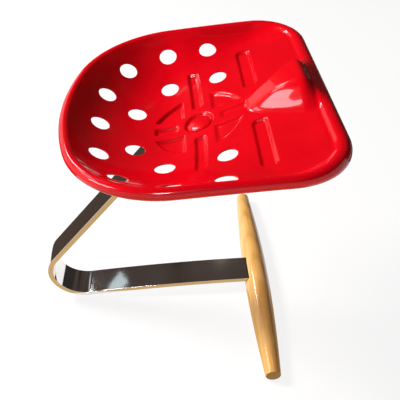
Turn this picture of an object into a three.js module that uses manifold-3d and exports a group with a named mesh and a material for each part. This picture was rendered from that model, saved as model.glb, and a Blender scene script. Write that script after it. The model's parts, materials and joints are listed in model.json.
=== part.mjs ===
// Tractor seat stool: a pressed and enamelled steel seat pan, bolted to one bent strip of
// chromed steel, which stands on its own bend and on a turned beech bar under the sitter's feet.
// Millimetres, +Z up. The sitter faces -Y, and the origin is on the floor under the middle.
import * as THREE from 'three';
import { mergeVertices } from 'three/addons/utils/BufferGeometryUtils.js';
import Module from 'manifold-3d';

const wasm = await Module();
wasm.setup();

const degree = Math.PI / 180;

// Fits between pieces
const seatGap = 0.3;
const shankGap = 0.4;
const cutOverrun = 1;

// Seat pan, seen from above: tangent arcs and straights from the middle of the back
const panWidth = 499;
const rearReach = 221;
const rearRadius = 418;
const rearTurn = 17.1 * degree;
const sideRun = 153;
const sideFlare = 1 * degree;
const cornerRadius = 93;
const rearArcSteps = 4;
const hipArcSteps = 8;
const sideSteps = 3;
const cornerSteps = 7;
const frontSteps = 8;

// Seat pan, seen from the side: heights are above the bolt, distances are ahead of it
const sheetThickness = 2;
const rearCrest = 59.7;
const sideCrest = 61.4;
const frontCrest = 57.7;
const sideCrestAhead = 20;
const floorTilt = 15.4 * degree;
const floorBreakBehind = 57;
const floorBlend = 12;

// How the bowl's wall climbs from the floor to the lip
const gentleWallShare = 0.93;
const gentleWallEase = 3;
const steepWallEase = 20;
const gentleFadeBehind = 20;
const gentleFadeAhead = 170;
const coarseRingShares = [0.17, 0.34];
const coarseRingSkips = [6, 3];
const fineRingShares = [0.47, 0.59, 0.7, 0.8, 0.87, 0.92, 0.96, 1];

// Lip rolled over and under, from inside the crest to below its outermost line
const lipRadius = 8.2;
const frontLipRadius = 13.4;
const lipStart = -56 * degree;
const lipEnd = 140 * degree;
const lipSteps = 7;

// Raised pommel between the legs
const pommelRise = 33;
const pommelBackAhead = 82;
const pommelTopAhead = 165;
const pommelNoseAhead = 202;
const pommelBackHalfWidth = 26;
const pommelFrontHalfWidth = 84;
const pommelFlatShare = 0.3;

// Pressed pattern round the bolt, sunk below the floor
const patternDepth = 4.5;
const patternReach = 70;
const ribHalfWidth = 8;
const sideRibFrom = 46;
const sideRibTo = 142;
const frontRibFrom = 41;
const frontRibTo = 84;
const rearRibFrom = 39;
const rearRibTo = 75;
const ribCorner = 3.5;
const sectorInset = 28;
const sectorRadius = 78;
const sectorCorner = 2.5;
const slotFrom = 54;
const slotTo = 175;
const slotAhead = 99;
const slotHalfWidth = 11;
const slotCorner = 8;
const cupRadius = 24;
const cornerArcSteps = 2;
const sectorSteps = 6;
const cupSides = 24;

// Round holes: each row is a turn in degrees from the back and a share of the way to the lip
const holeRadius = 16.3;
const holeSides = 16;
const pairedHoleShares = [
  [98.9, 0.85],
  [76.6, 0.85],
  [52.7, 0.853],
  [29.3, 0.828],
  [26.6, 0.555],
];
const nudgeShare = 0.01;
const nudgeTurn = degree;
const singleHoleShares = [
  [1.1, 0.801],
  [68.6, 0.546],
  [-62.3, 0.531],
  [110.1, 0.501],
  [-107.7, 0.52],
];

// Bent strip that carries the seat
const stripWidth = 60;
const stripThickness = 10;
const stripEdge = 1;
const tongueRun = 32;
const tongueTilt = 1 * degree;
const bowRun = 334;
const bowTurn = 5 * degree;
const bendRadius = 65;
const stemLean = 49.7 * degree;
const stemRun = 308.6;
const tabTilt = 20.7 * degree;
const topBendRadius = 100;
const tabBehindBolt = 60.2;
const tabAheadOfBolt = 32;
const bowSteps = 5;
const bendSteps = 18;
const topBendSteps = 6;

// Turned foot bar with a planed underside
const barLength = 499;
const barRadius = 25.8;
const barEndRadius = 14.5;
const barAxisHeight = 13;
const barTaperEase = 1.85;
const barEndRound = 2.5;
const barSides = 28;
const barStationShares = [0.22, 0.42, 0.6, 0.76, 0.9];
const tonguePastAxis = 8;

// Seat bolt, washer and wing nut
const boltRadius = 5;
const boltHeadRadius = 20.5;
const boltHeadEdge = 1.4;
const boltTip = 4;
const boltChamfer = 0.8;
const domeSteps = 5;
const washerRadius = 12;
const washerThickness = 2;
const nutHeight = 12;
const nutBaseRadius = 10;
const nutTopRadius = 8;
const wingSpan = 50;
const wingDrop = 10;
const wingHalfHeight = 9;
const wingThickness = 3.2;
const wingSteps = 10;
const roundSides = 24;

// Countersunk screws that hold the strip in the foot bar
const screwSpacing = 32;
const screwLength = 33;
const screwRadius = 2.2;
const screwTip = 6;
const screwHeadRadius = 4.4;
const screwHeadDepth = 2.6;
const screwSides = 12;

// Sizes that follow
const halfWidth = panWidth / 2;
const hipRadius = (halfWidth - rearRadius * Math.sin(rearTurn) - sideRun * Math.sin(sideFlare))
  / (Math.cos(sideFlare) - Math.sin(rearTurn));
const seatTilt = tabTilt - floorTilt;
const pressedDepth = sheetThickness + patternDepth;
const tabMiddleDepth = pressedDepth + seatGap + stripThickness / 2;
const washerDepth = tabMiddleDepth + stripThickness / 2 + seatGap;
const nutDepth = washerDepth + washerThickness + seatGap;
const boltLength = nutDepth + nutHeight + boltTip;

const enamel = () => new THREE.MeshStandardMaterial({ color: 0xe2040f, roughness: 0.12, metalness: 0 });
const chrome = () => new THREE.MeshStandardMaterial({ color: 0xb9b6b0, roughness: 0.08, metalness: 1 });
const beech = () => new THREE.MeshStandardMaterial({ color: 0xdfa557, roughness: 0.38, metalness: 0 });
const zinc = () => new THREE.MeshStandardMaterial({ color: 0xb4b8bb, roughness: 0.35, metalness: 1 });

// Closed geometry to solid and back
function toSolid(geometry) {
  const bare = geometry.clone();
  bare.deleteAttribute('normal');
  bare.deleteAttribute('uv');
  const merged = mergeVertices(bare);
  const index = merged.index ? merged.index.array : merged.attributes.position.array.map((_, i) => i);
  return new wasm.Manifold(new wasm.Mesh({
    numProp: 3,
    vertProperties: Float32Array.from(merged.attributes.position.array),
    triVerts: Uint32Array.from(index),
  }));
}

function toGeometry(solid) {
  const mesh = solid.getMesh();
  const geometry = new THREE.BufferGeometry();
  geometry.setAttribute('position', new THREE.BufferAttribute(Float32Array.from(mesh.vertProperties), 3));
  geometry.setIndex(new THREE.BufferAttribute(Uint32Array.from(mesh.triVerts), 1));
  geometry.computeVertexNormals();
  return geometry;
}

function named(name, geometry, material) {
  const mesh = new THREE.Mesh(geometry, material);
  mesh.name = name;
  return mesh;
}

function easeInOut(from, to, value) {
  return THREE.MathUtils.smoothstep(value, from, to);
}

// Upright cylinder from one height to another
function rod(radius, low, high, sides) {
  const geometry = new THREE.CylinderGeometry(radius, radius, high - low, sides);
  geometry.rotateX(Math.PI / 2);
  geometry.translate(0, 0, (low + high) / 2);
  return geometry;
}

// Turned piece about Z, from pairs of radius and height listed from low to high
function turned(profile, sides) {
  const points = profile.map(([radius, height]) => new THREE.Vector2(radius, height));
  const geometry = new THREE.LatheGeometry(points, sides);
  geometry.rotateX(Math.PI / 2);
  return geometry;
}

// Outer edge of the pan as spots with the way each faces, down the +X side from back to front
function halfEdge() {
  const spot = new THREE.Vector2(0, rearReach);
  let facing = 0;
  const outward = () => new THREE.Vector2(Math.sin(facing), Math.cos(facing));
  const stops = [{ spot: spot.clone(), outward: outward() }];
  const bend = (radius, turn, steps) => {
    const centre = spot.clone().addScaledVector(outward(), -radius);
    const start = facing;
    for (let step = 1; step <= steps; step += 1) {
      facing = start + turn * step / steps;
      spot.copy(centre).addScaledVector(outward(), radius);
      stops.push({ spot: spot.clone(), outward: outward() });
    }
  };
  const run = (length, steps) => {
    const along = new THREE.Vector2(Math.cos(facing), -Math.sin(facing));
    const start = spot.clone();
    for (let step = 1; step <= steps; step += 1) {
      spot.copy(start).addScaledVector(along, length * step / steps);
      stops.push({ spot: spot.clone(), outward: outward() });
    }
  };
  const rightAngle = Math.PI / 2;
  bend(rearRadius, rearTurn, rearArcSteps);
  bend(hipRadius, rightAngle - sideFlare - rearTurn, hipArcSteps);
  run(sideRun, sideSteps);
  bend(cornerRadius, rightAngle + sideFlare, cornerSteps);
  run(spot.x, frontSteps);
  return stops;
}

function fullEdge() {
  const half = halfEdge();
  const other = half.slice(1, -1).reverse().map((stop) => ({
    spot: new THREE.Vector2(-stop.spot.x, stop.spot.y),
    outward: new THREE.Vector2(-stop.outward.x, stop.outward.y),
  }));
  return [...half, ...other];
}

const edge = fullEdge();
const frontReach = -Math.min(...edge.map((stop) => stop.spot.y));

// Height of the lip's top, which is highest at the sides
function crestHeight(ahead) {
  const isFront = ahead > sideCrestAhead;
  const end = isFront ? frontCrest : rearCrest;
  const reach = isFront ? frontReach - sideCrestAhead : rearReach + sideCrestAhead;
  const share = (ahead - sideCrestAhead) / reach;
  return sideCrest + (end - sideCrest) * share * share;
}

// Height of the bowl's floor: level at the back, then a plane that climbs through the bolt
function floorHeight(ahead) {
  const slope = Math.tan(floorTilt);
  const bend = floorBlend * Math.log1p(Math.exp((ahead + floorBreakBehind) / floorBlend));
  return slope * (bend - floorBreakBehind);
}

function pommelHeight(across, ahead) {
  const along = THREE.MathUtils.clamp((ahead - pommelBackAhead) / (pommelTopAhead - pommelBackAhead), 0, 1);
  const climb = Math.sin(along * Math.PI / 2);
  const nose = 1 - easeInOut(pommelTopAhead, pommelNoseAhead, ahead);
  const flank = THREE.MathUtils.lerp(pommelBackHalfWidth, pommelFrontHalfWidth, along);
  const side = 1 - easeInOut(pommelFlatShare * flank, flank, Math.abs(across));
  return pommelRise * climb * nose * side;
}

// Spot lifted by the pommel under it
function lifted(spot) {
  return new THREE.Vector3(spot.x, spot.y, spot.z + pommelHeight(spot.x, -spot.y));
}

// Radius of the lip where the edge faces a given way: larger along the front
function lipRadiusAt(outward) {
  const front = Math.max(0, -outward.y);
  return lipRadius + (frontLipRadius - lipRadius) * front * front;
}

// Spot on the lip's roll: the crest is at no turn and the outermost line at 90 degrees
function lipSpot(stop, turn) {
  const radius = lipRadiusAt(stop.outward);
  const inset = radius * (1 - Math.sin(turn));
  const flat = stop.spot.clone().addScaledVector(stop.outward, -inset);
  const height = crestHeight(-stop.spot.y) - radius * (1 - Math.cos(turn));
  return new THREE.Vector3(flat.x, flat.y, height);
}

// Spot on the bowl, a share of the way from the bolt to the lip's inner start
function bowlSpot(lip, share) {
  const x = lip.x * share;
  const y = lip.y * share;
  const floor = floorHeight(-y);
  const gentle = gentleWallShare * (1 - easeInOut(-gentleFadeBehind, gentleFadeAhead, -y));
  const climb = gentle * share ** gentleWallEase + (1 - gentle) * share ** steepWallEase;
  return lifted(new THREE.Vector3(x, y, floor + (lip.z - floor) * climb));
}

// Rows of the pan's upper face, outwards from the first ring to the lip's lower edge
function panRows() {
  const starts = edge.map((stop) => lipSpot(stop, lipStart));
  const coarse = coarseRingShares.map((share, ring) => starts
    .filter((lip, station) => station % coarseRingSkips[ring] === 0)
    .map((lip) => bowlSpot(lip, share)));
  const fine = fineRingShares.map((share) => starts.map((lip) => bowlSpot(lip, share)));
  const rows = [...coarse, ...fine];
  for (let step = 1; step <= lipSteps; step += 1) {
    const turn = THREE.MathUtils.lerp(lipStart, lipEnd, step / lipSteps);
    rows.push(edge.map((stop) => lifted(lipSpot(stop, turn))));
  }
  return rows;
}

const rows = panRows();
const bowlRowCount = coarseRingShares.length + fineRingShares.length;
const lipStarts = rows[bowlRowCount - 1];
const stations = edge.length;

// Faces of a fan of rings round one middle spot, where an outer ring may hold more spots
function fanFaces(rowCount) {
  const faces = [];
  const first = rows[0].length;
  for (let spot = 0; spot < first; spot += 1) {
    faces.push(0, 1 + (spot + 1) % first, 1 + spot);
  }
  let inner = 1;
  for (let row = 1; row < rowCount; row += 1) {
    const innerCount = rows[row - 1].length;
    const outerCount = rows[row].length;
    const ratio = outerCount / innerCount;
    const outer = inner + innerCount;
    for (let spot = 0; spot < innerCount; spot += 1) {
      const next = inner + (spot + 1) % innerCount;
      for (let part = 0; part < ratio; part += 1) {
        const outerSpot = spot * ratio + part;
        faces.push(inner + spot, outer + (outerSpot + 1) % outerCount, outer + outerSpot);
      }
      faces.push(inner + spot, next, outer + (spot + 1) * ratio % outerCount);
    }
    inner = outer;
  }
  return faces;
}

function upperFace() {
  const middle = new THREE.Vector3(0, 0, floorHeight(0));
  const spots = [middle, ...rows.flat()];
  const geometry = new THREE.BufferGeometry().setFromPoints(spots);
  geometry.setIndex(fanFaces(rows.length));
  geometry.computeVertexNormals();
  return geometry;
}

const upper = upperFace();

// Closed skin between two distances below the pan's upper face, over the first rows only
function skin(top, bottom, rowCount) {
  const count = 1 + rows.slice(0, rowCount).flat().length;
  const places = upper.attributes.position;
  const normals = upper.attributes.normal;
  const spots = [];
  [top, bottom].forEach((depth) => {
    for (let spot = 0; spot < count; spot += 1) {
      const place = new THREE.Vector3().fromBufferAttribute(places, spot);
      const normal = new THREE.Vector3().fromBufferAttribute(normals, spot);
      spots.push(place.addScaledVector(normal, -depth));
    }
  });
  const faces = fanFaces(rowCount);
  const under = [];
  for (let face = 0; face < faces.length; face += 3) {
    under.push(count + faces[face], count + faces[face + 2], count + faces[face + 1]);
  }
  const rim = [];
  const last = count - stations;
  for (let station = 0; station < stations; station += 1) {
    const next = (station + 1) % stations;
    rim.push(last + station, last + next, count + last + next);
    rim.push(last + station, count + last + next, count + last + station);
  }
  const geometry = new THREE.BufferGeometry().setFromPoints(spots);
  geometry.setIndex([...faces, ...under, ...rim]);
  return toSolid(geometry);
}

// Rectangle with rounded corners, from its two opposite corners
function roundedBox(left, low, right, high, corner) {
  const shape = new THREE.Shape();
  shape.moveTo(left + corner, low);
  shape.lineTo(right - corner, low);
  shape.absarc(right - corner, low + corner, corner, -Math.PI / 2, 0);
  shape.lineTo(right, high - corner);
  shape.absarc(right - corner, high - corner, corner, 0, Math.PI / 2);
  shape.lineTo(left + corner, high);
  shape.absarc(left + corner, high - corner, corner, Math.PI / 2, Math.PI);
  shape.lineTo(left, low + corner);
  shape.absarc(left + corner, low + corner, corner, Math.PI, Math.PI * 3 / 2);
  return shape;
}

// Quarter sector of a disc, cut back from both middle lines
function sector(grow) {
  const low = sectorInset - grow;
  const radius = sectorRadius + grow;
  const corner = sectorCorner + grow;
  const reach = Math.sqrt(radius * radius - low * low);
  const turn = Math.atan2(low, reach);
  const shape = new THREE.Shape();
  shape.moveTo(low + corner, low);
  shape.lineTo(reach, low);
  shape.absarc(0, 0, radius, turn, Math.PI / 2 - turn);
  shape.lineTo(low, low + corner);
  shape.absarc(low + corner, low + corner, corner, Math.PI, Math.PI * 3 / 2);
  return shape;
}

// Upright block of a shape drawn round the bolt, with X to the side and Y to the back
function patternBlock(shape, steps) {
  const geometry = new THREE.ExtrudeGeometry(shape, {
    depth: 2 * patternReach, bevelEnabled: false, curveSegments: steps,
  });
  geometry.translate(0, 0, -patternReach);
  geometry.rotateX(-floorTilt);
  return geometry;
}

// Solid cylinder along the bolt's axis
function tiltedRod(radius, low, high, sides) {
  return toSolid(rod(radius, low, high, sides).rotateX(-floorTilt));
}

// Every pressed region but the cup, each grown all round by the same amount
function pressedBlocks(grow) {
  const ribs = [
    [sideRibFrom, -ribHalfWidth, sideRibTo, ribHalfWidth],
    [-sideRibTo, -ribHalfWidth, -sideRibFrom, ribHalfWidth],
    [-ribHalfWidth, rearRibFrom, ribHalfWidth, rearRibTo],
    [-ribHalfWidth, -frontRibTo, ribHalfWidth, -frontRibFrom],
  ];
  const slots = [
    [slotFrom, -slotAhead - slotHalfWidth, slotTo, -slotAhead + slotHalfWidth],
    [-slotTo, -slotAhead - slotHalfWidth, -slotFrom, -slotAhead + slotHalfWidth],
  ];
  const box = ([left, low, right, high], corner) => patternBlock(
    roundedBox(left - grow, low - grow, right + grow, high + grow, corner + grow),
    cornerArcSteps,
  );
  const sectors = [1, -1].flatMap((side) => [1, -1].map((end) => {
    const block = new THREE.ExtrudeGeometry(sector(grow), {
      depth: 2 * patternReach, bevelEnabled: false, curveSegments: sectorSteps,
    });
    block.translate(0, 0, -patternReach);
    if (side * end < 0) {
      block.rotateZ(side > 0 ? -Math.PI / 2 : Math.PI / 2);
    } else {
      block.rotateZ(side > 0 ? 0 : Math.PI);
    }
    block.rotateX(-floorTilt);
    return block;
  }));
  return [
    ...ribs.map((rib) => box(rib, ribCorner)),
    ...slots.map((slot) => box(slot, slotCorner)),
    ...sectors,
  ].map(toSolid);
}

// Lip's inner start in a given direction from the bolt, turned from the back towards +X
function lipInDirection(turn) {
  const way = new THREE.Vector2(Math.sin(turn), Math.cos(turn));
  for (let station = 0; station < stations; station += 1) {
    const here = lipStarts[station];
    const next = lipStarts[(station + 1) % stations];
    const sideHere = way.x * here.y - way.y * here.x;
    const sideNext = way.x * next.y - way.y * next.x;
    const isAhead = way.x * here.x + way.y * here.y > 0;
    if (isAhead && sideHere >= 0 && sideNext < 0) {
      return here.clone().lerp(next, sideHere / (sideHere - sideNext));
    }
  }
  throw new Error(`no lip in direction ${turn}`);
}

// Round punch square to the pan's face
function holePunch([turnDegrees, share]) {
  const turn = turnDegrees * degree;
  const lip = lipInDirection(turn);
  const middle = bowlSpot(lip, share);
  const outer = bowlSpot(lip, share + nudgeShare);
  const beside = bowlSpot(lipInDirection(turn + nudgeTurn), share);
  const normal = outer.sub(middle).cross(beside.sub(middle)).normalize();
  const punch = rod(holeRadius, -holeRadius, holeRadius, holeSides);
  punch.applyQuaternion(new THREE.Quaternion().setFromUnitVectors(new THREE.Vector3(0, 0, 1), normal));
  punch.translate(middle.x, middle.y, middle.z);
  return toSolid(punch);
}

function seatPan() {
  const pressedRows = bowlRowCount - 1;
  const sheet = skin(0, sheetThickness, rows.length);
  const below = skin(sheetThickness / 2, pressedDepth, pressedRows);
  const above = skin(-cutOverrun, patternDepth, pressedRows);
  let pan = sheet;
  pressedBlocks(sheetThickness).forEach((block) => {
    pan = pan.add(below.intersect(block));
  });
  pan = pan.add(tiltedRod(cupRadius + sheetThickness, -pressedDepth, -sheetThickness / 2, cupSides));
  pressedBlocks(0).forEach((block) => {
    pan = pan.subtract(above.intersect(block));
  });
  pan = pan.subtract(tiltedRod(cupRadius, -patternDepth, cutOverrun, cupSides));
  const holes = [
    ...pairedHoleShares,
    ...pairedHoleShares.map(([turn, share]) => [-turn, share]),
    ...singleHoleShares,
  ];
  holes.forEach((hole) => {
    pan = pan.subtract(holePunch(hole));
  });
  return toGeometry(pan.subtract(tiltedRod(
    boltRadius + shankGap,
    -pressedDepth - cutOverrun,
    cutOverrun,
    roundSides,
  )));
}

// Domed head sunk flush in the pan's cup, and a shank down through strip, washer and nut
function seatBolt() {
  const seat = -patternDepth + seatGap;
  const rise = -seat - boltHeadEdge;
  const dome = [];
  for (let step = 0; step <= domeSteps; step += 1) {
    const turn = Math.PI / 2 * step / domeSteps;
    dome.push([boltHeadRadius * Math.cos(turn), seat + boltHeadEdge + rise * Math.sin(turn)]);
  }
  dome[domeSteps][0] = 0;
  return turned([
    [0, -boltLength],
    [boltRadius - boltChamfer, -boltLength],
    [boltRadius, -boltLength + boltChamfer],
    [boltRadius, seat],
    [boltHeadRadius, seat],
    ...dome,
  ], roundSides);
}

function washer() {
  const bore = boltRadius + shankGap;
  const low = -washerDepth - washerThickness;
  return turned([
    [bore, low],
    [washerRadius, low],
    [washerRadius, -washerDepth],
    [bore, -washerDepth],
    [bore, low],
  ], roundSides);
}

// Tapered nut with two rounded ears that flare away from the strip
function wingNut() {
  const low = -nutDepth - nutHeight;
  const hub = turned([
    [0, low],
    [nutTopRadius, low],
    [nutBaseRadius, -nutDepth],
    [0, -nutDepth],
  ], roundSides);
  const ear = new THREE.Shape();
  const halfEar = (wingSpan - nutTopRadius) / 4;
  ear.absellipse(wingSpan / 2 - halfEar, -nutDepth - wingDrop, halfEar, wingHalfHeight, 0, Math.PI * 2);
  const wing = new THREE.ExtrudeGeometry(ear, {
    depth: wingThickness, bevelEnabled: false, curveSegments: wingSteps,
  });
  wing.translate(0, 0, -wingThickness / 2);
  wing.rotateX(Math.PI / 2);
  const otherWing = wing.clone().rotateZ(Math.PI);
  const earLow = -nutDepth - wingDrop - wingHalfHeight;
  const bore = rod(boltRadius + shankGap, earLow - cutOverrun, -nutDepth + cutOverrun, roundSides);
  const solid = toSolid(hub).add(toSolid(wing)).add(toSolid(otherWing)).subtract(toSolid(bore));
  return toGeometry(solid);
}

// Middle line of the strip in the Y-Z plane, from its end in the bar back, round and up
function stripLine() {
  const spot = new THREE.Vector2(-tonguePastAxis, 0);
  let heading = -tongueTilt;
  const leftward = () => new THREE.Vector2(-Math.sin(heading), Math.cos(heading));
  const stops = [{ spot: spot.clone(), left: leftward() }];
  const run = (length) => {
    spot.add(new THREE.Vector2(Math.cos(heading), Math.sin(heading)).multiplyScalar(length));
    stops.push({ spot: spot.clone(), left: leftward() });
  };
  const bend = (radius, turn, steps) => {
    const side = Math.sign(turn);
    const centre = spot.clone().addScaledVector(leftward(), side * radius);
    const start = heading;
    for (let step = 1; step <= steps; step += 1) {
      heading = start + turn * step / steps;
      spot.copy(centre).addScaledVector(leftward(), -side * radius);
      stops.push({ spot: spot.clone(), left: leftward() });
    }
  };
  run(tongueRun);
  bend(bowRun / bowTurn, -bowTurn, bowSteps);
  bend(bendRadius, Math.PI - stemLean - heading, bendSteps);
  run(stemRun);
  bend(topBendRadius, stemLean - tabTilt, topBendSteps);
  run(tabBehindBolt);
  const boltSpot = spot.clone();
  run(tabAheadOfBolt);
  const lowest = Math.min(...stops.map((stop) => stop.spot.y - stop.left.y * stripThickness / 2));
  stops.forEach((stop) => {
    stop.spot.y -= lowest;
  });
  boltSpot.y -= lowest;
  return { stops, boltSpot, left: leftward() };
}

const strip = stripLine();

// Strip as a bent bar: grown all round for the slot that it fits, or with eased edges
function stripBar(grow, easedEdge) {
  const half = stripThickness / 2 + grow;
  const first = strip.stops[0];
  const along = new THREE.Vector2(first.left.y, -first.left.x);
  const stops = [{ spot: first.spot.clone().addScaledVector(along, -grow), left: first.left }];
  stops.push(...strip.stops.slice(1));
  const over = stops.map((stop) => stop.spot.clone().addScaledVector(stop.left, half));
  const under = stops.map((stop) => stop.spot.clone().addScaledVector(stop.left, -half));
  const shape = new THREE.Shape([...under, ...over.reverse()]);
  const width = stripWidth + 2 * grow;
  const geometry = new THREE.ExtrudeGeometry(shape, {
    depth: width - 2 * easedEdge,
    bevelEnabled: easedEdge > 0,
    bevelThickness: easedEdge,
    bevelSize: easedEdge,
    bevelOffset: -easedEdge,
    bevelSegments: 1,
  });
  geometry.translate(0, 0, easedEdge - width / 2);
  geometry.applyMatrix4(new THREE.Matrix4().makeBasis(
    new THREE.Vector3(0, 1, 0),
    new THREE.Vector3(0, 0, 1),
    new THREE.Vector3(1, 0, 0),
  ));
  return toSolid(geometry);
}

// Where the bolt's axis meets the pan's upper face
const boltPlace = new THREE.Vector3(0, strip.boltSpot.x, strip.boltSpot.y)
  .addScaledVector(new THREE.Vector3(0, strip.left.x, strip.left.y), -tabMiddleDepth);

const screwHalfSpacing = screwSpacing / 2;
const screwBehindAxis = (tongueRun - tonguePastAxis) / 4;

// Screw as turned about Z, point up, grown all round for the hole that it fits
function screwBody(grow) {
  const radius = screwRadius + grow;
  return turned([
    [0, seatGap - grow],
    [screwHeadRadius + grow, seatGap - grow],
    [screwHeadRadius + grow, seatGap],
    [radius, seatGap + screwHeadDepth],
    [radius, screwLength - screwTip],
    [0, screwLength + grow],
  ], screwSides);
}

function stem() {
  let solid = stripBar(0, stripEdge);
  const boltHole = rod(boltRadius + shankGap, -boltLength, 0, roundSides);
  boltHole.rotateX(-tabTilt);
  boltHole.translate(boltPlace.x, boltPlace.y, boltPlace.z);
  solid = solid.subtract(toSolid(boltHole));
  [screwHalfSpacing, -screwHalfSpacing].forEach((x) => {
    const hole = rod(screwRadius + shankGap, 0, screwLength + cutOverrun, screwSides);
    hole.translate(x, screwBehindAxis, 0);
    solid = solid.subtract(toSolid(hole));
  });
  return toGeometry(solid);
}

// Bar turned about X with ends slimmer than its middle, planed flat where it stands
function footBar() {
  const halfLength = barLength / 2;
  const radiusAt = (share) => barRadius - (barRadius - barEndRadius) * share ** barTaperEase;
  const body = barStationShares.map((share) => [radiusAt(share), share * halfLength]);
  const oneEnd = [
    ...body,
    [barEndRadius, halfLength - barEndRound],
    [barEndRadius - barEndRound, halfLength],
    [0, halfLength],
  ];
  const otherEnd = oneEnd.slice().reverse().map(([radius, along]) => [radius, -along]);
  const bar = turned([...otherEnd, [barRadius, 0], ...oneEnd], barSides);
  bar.rotateY(Math.PI / 2);
  bar.translate(0, 0, barAxisHeight);
  const belowFloor = new THREE.BoxGeometry(2 * barLength, 2 * barLength, barLength);
  belowFloor.translate(0, 0, -halfLength);
  let solid = toSolid(bar).subtract(toSolid(belowFloor)).subtract(stripBar(seatGap, 0));
  [screwHalfSpacing, -screwHalfSpacing].forEach((x) => {
    const hole = screwBody(seatGap).translate(x, screwBehindAxis, 0);
    const mouth = rod(screwHeadRadius + seatGap, -cutOverrun, seatGap, screwSides);
    mouth.translate(x, screwBehindAxis, 0);
    solid = solid.subtract(toSolid(hole)).subtract(toSolid(mouth));
  });
  return toGeometry(solid);
}

function barScrews() {
  const sides = { left: screwHalfSpacing, right: -screwHalfSpacing };
  return Object.entries(sides).map(([side, x]) => {
    const screw = named(`bar_screw_${side}`, screwBody(0), zinc());
    screw.position.set(x, screwBehindAxis, 0);
    return screw;
  });
}

const stand = new THREE.Group();
stand.add(named('stem', stem(), chrome()));
stand.add(named('foot_bar', footBar(), beech()));
stand.add(...barScrews());

const fastening = new THREE.Group();
fastening.rotation.x = -floorTilt;
fastening.add(named('seat_bolt', seatBolt(), enamel()));
fastening.add(named('washer', washer(), zinc()));
fastening.add(named('wing_nut', wingNut(), zinc()));

const seat = new THREE.Group();
seat.position.copy(boltPlace);
seat.rotation.x = -seatTilt;
seat.add(named('seat_pan', seatPan(), enamel()));
seat.add(fastening);

// The origin goes to the floor under the middle of the whole stool
const stool = new THREE.Group();
stool.add(stand);
stool.add(seat);
stool.updateMatrixWorld(true);
stool.position.y = -new THREE.Box3().setFromObject(stool, true).getCenter(new THREE.Vector3()).y;

export default stool;
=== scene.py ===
"""Tractor seat stool: enamelled steel pan, bent chromed strip and turned beech foot bar.

Lengths are in metres. The stool stands on the floor at z = 0, and its sitter faces -Y.
"""

import json
import math

import bmesh
import bpy
from bmesh.types import BMEdge, BMVert
from bpy.props import FloatProperty, FloatVectorProperty, IntProperty, PointerProperty
from mathutils import Matrix, Quaternion, Vector


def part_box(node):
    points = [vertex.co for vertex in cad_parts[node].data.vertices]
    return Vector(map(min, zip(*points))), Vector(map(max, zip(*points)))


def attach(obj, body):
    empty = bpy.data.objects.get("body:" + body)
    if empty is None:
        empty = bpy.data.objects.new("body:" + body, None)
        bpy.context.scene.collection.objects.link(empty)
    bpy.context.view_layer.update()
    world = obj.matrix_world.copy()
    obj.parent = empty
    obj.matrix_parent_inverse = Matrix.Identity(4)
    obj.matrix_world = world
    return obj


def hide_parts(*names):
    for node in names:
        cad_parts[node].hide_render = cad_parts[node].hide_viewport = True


bl_info = {
    "name": "Tractor Seat Stool",
    "version": (1, 0, 0),
    "blender": (4, 5, 0),
    "location": "View3D > Sidebar > Stool",
    "description": "Dresses the stool's frame with its finished pieces, materials and studio",
    "category": "Object",
}

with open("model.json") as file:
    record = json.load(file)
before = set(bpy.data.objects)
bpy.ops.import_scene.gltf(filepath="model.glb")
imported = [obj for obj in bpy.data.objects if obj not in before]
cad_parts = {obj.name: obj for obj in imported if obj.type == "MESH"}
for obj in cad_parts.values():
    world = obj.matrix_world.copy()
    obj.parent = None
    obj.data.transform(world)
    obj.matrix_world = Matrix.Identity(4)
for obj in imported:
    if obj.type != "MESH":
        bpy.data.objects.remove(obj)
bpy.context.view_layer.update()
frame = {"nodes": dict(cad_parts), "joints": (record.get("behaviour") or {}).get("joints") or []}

MM = 0.001
DEGREE = math.pi / 180
RIGHT_ANGLE = math.pi / 2
FULL_TURN = 2 * math.pi

# How the pan's floor, wall and lip run: distances from the bolt, shares, eases and turns
SIDE_CREST_AHEAD = 20 * MM
FLOOR_BREAK_BEHIND = 57 * MM
FLOOR_BLEND = 12 * MM
GENTLE_WALL_SHARE = 0.93
GENTLE_WALL_EASE = 3
STEEP_WALL_EASE = 20
GENTLE_FADE_BEHIND = 20 * MM
GENTLE_FADE_AHEAD = 170 * MM
LIP_START = -56 * DEGREE
LIP_END = 140 * DEGREE

# Raised pommel: distances ahead of the bolt, half widths and the share of its top that is flat
POMMEL_BACK_AHEAD = 82 * MM
POMMEL_TOP_AHEAD = 165 * MM
POMMEL_NOSE_AHEAD = 202 * MM
POMMEL_BACK_HALF_WIDTH = 26 * MM
POMMEL_FRONT_HALF_WIDTH = 84 * MM
POMMEL_FLAT_SHARE = 0.3

# Pressed pattern: ribs and slots as left, low, right and high round the bolt
RIB_HALF_WIDTH = 8 * MM
SIDE_RIB = (46 * MM, -RIB_HALF_WIDTH, 142 * MM, RIB_HALF_WIDTH)
REAR_RIB = (-RIB_HALF_WIDTH, 39 * MM, RIB_HALF_WIDTH, 75 * MM)
FRONT_RIB = (-RIB_HALF_WIDTH, -84 * MM, RIB_HALF_WIDTH, -41 * MM)
SLOT = (54 * MM, -110 * MM, 175 * MM, -88 * MM)
RIB_CORNER = 3.5 * MM
SLOT_CORNER = 8 * MM
SECTOR_INSET = 28 * MM
SECTOR_RADIUS = 78 * MM
CUP_RADIUS = 24 * MM

# The pattern's front part, which is shallower and softer than the rest
SOFT_REACH = 92 * MM
SOFT_AHEAD = 50 * MM
SOFT_DEPTH_SHARE = 0.55
SOFT_WALL_SHARE = 1.5

# Round holes: turns in degrees from the back, and shares of the way to the lip
PAIRED_HOLE_SHARES = ((98.9, 0.85), (76.6, 0.85), (52.7, 0.853), (29.3, 0.828), (26.6, 0.555))
SINGLE_HOLE_SHARES = ((1.1, 0.801), (68.6, 0.546), (-62.3, 0.531), (110.1, 0.501), (-107.7, 0.52))
NUDGE_SHARE = 0.01
NUDGE_TURN = DEGREE

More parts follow.
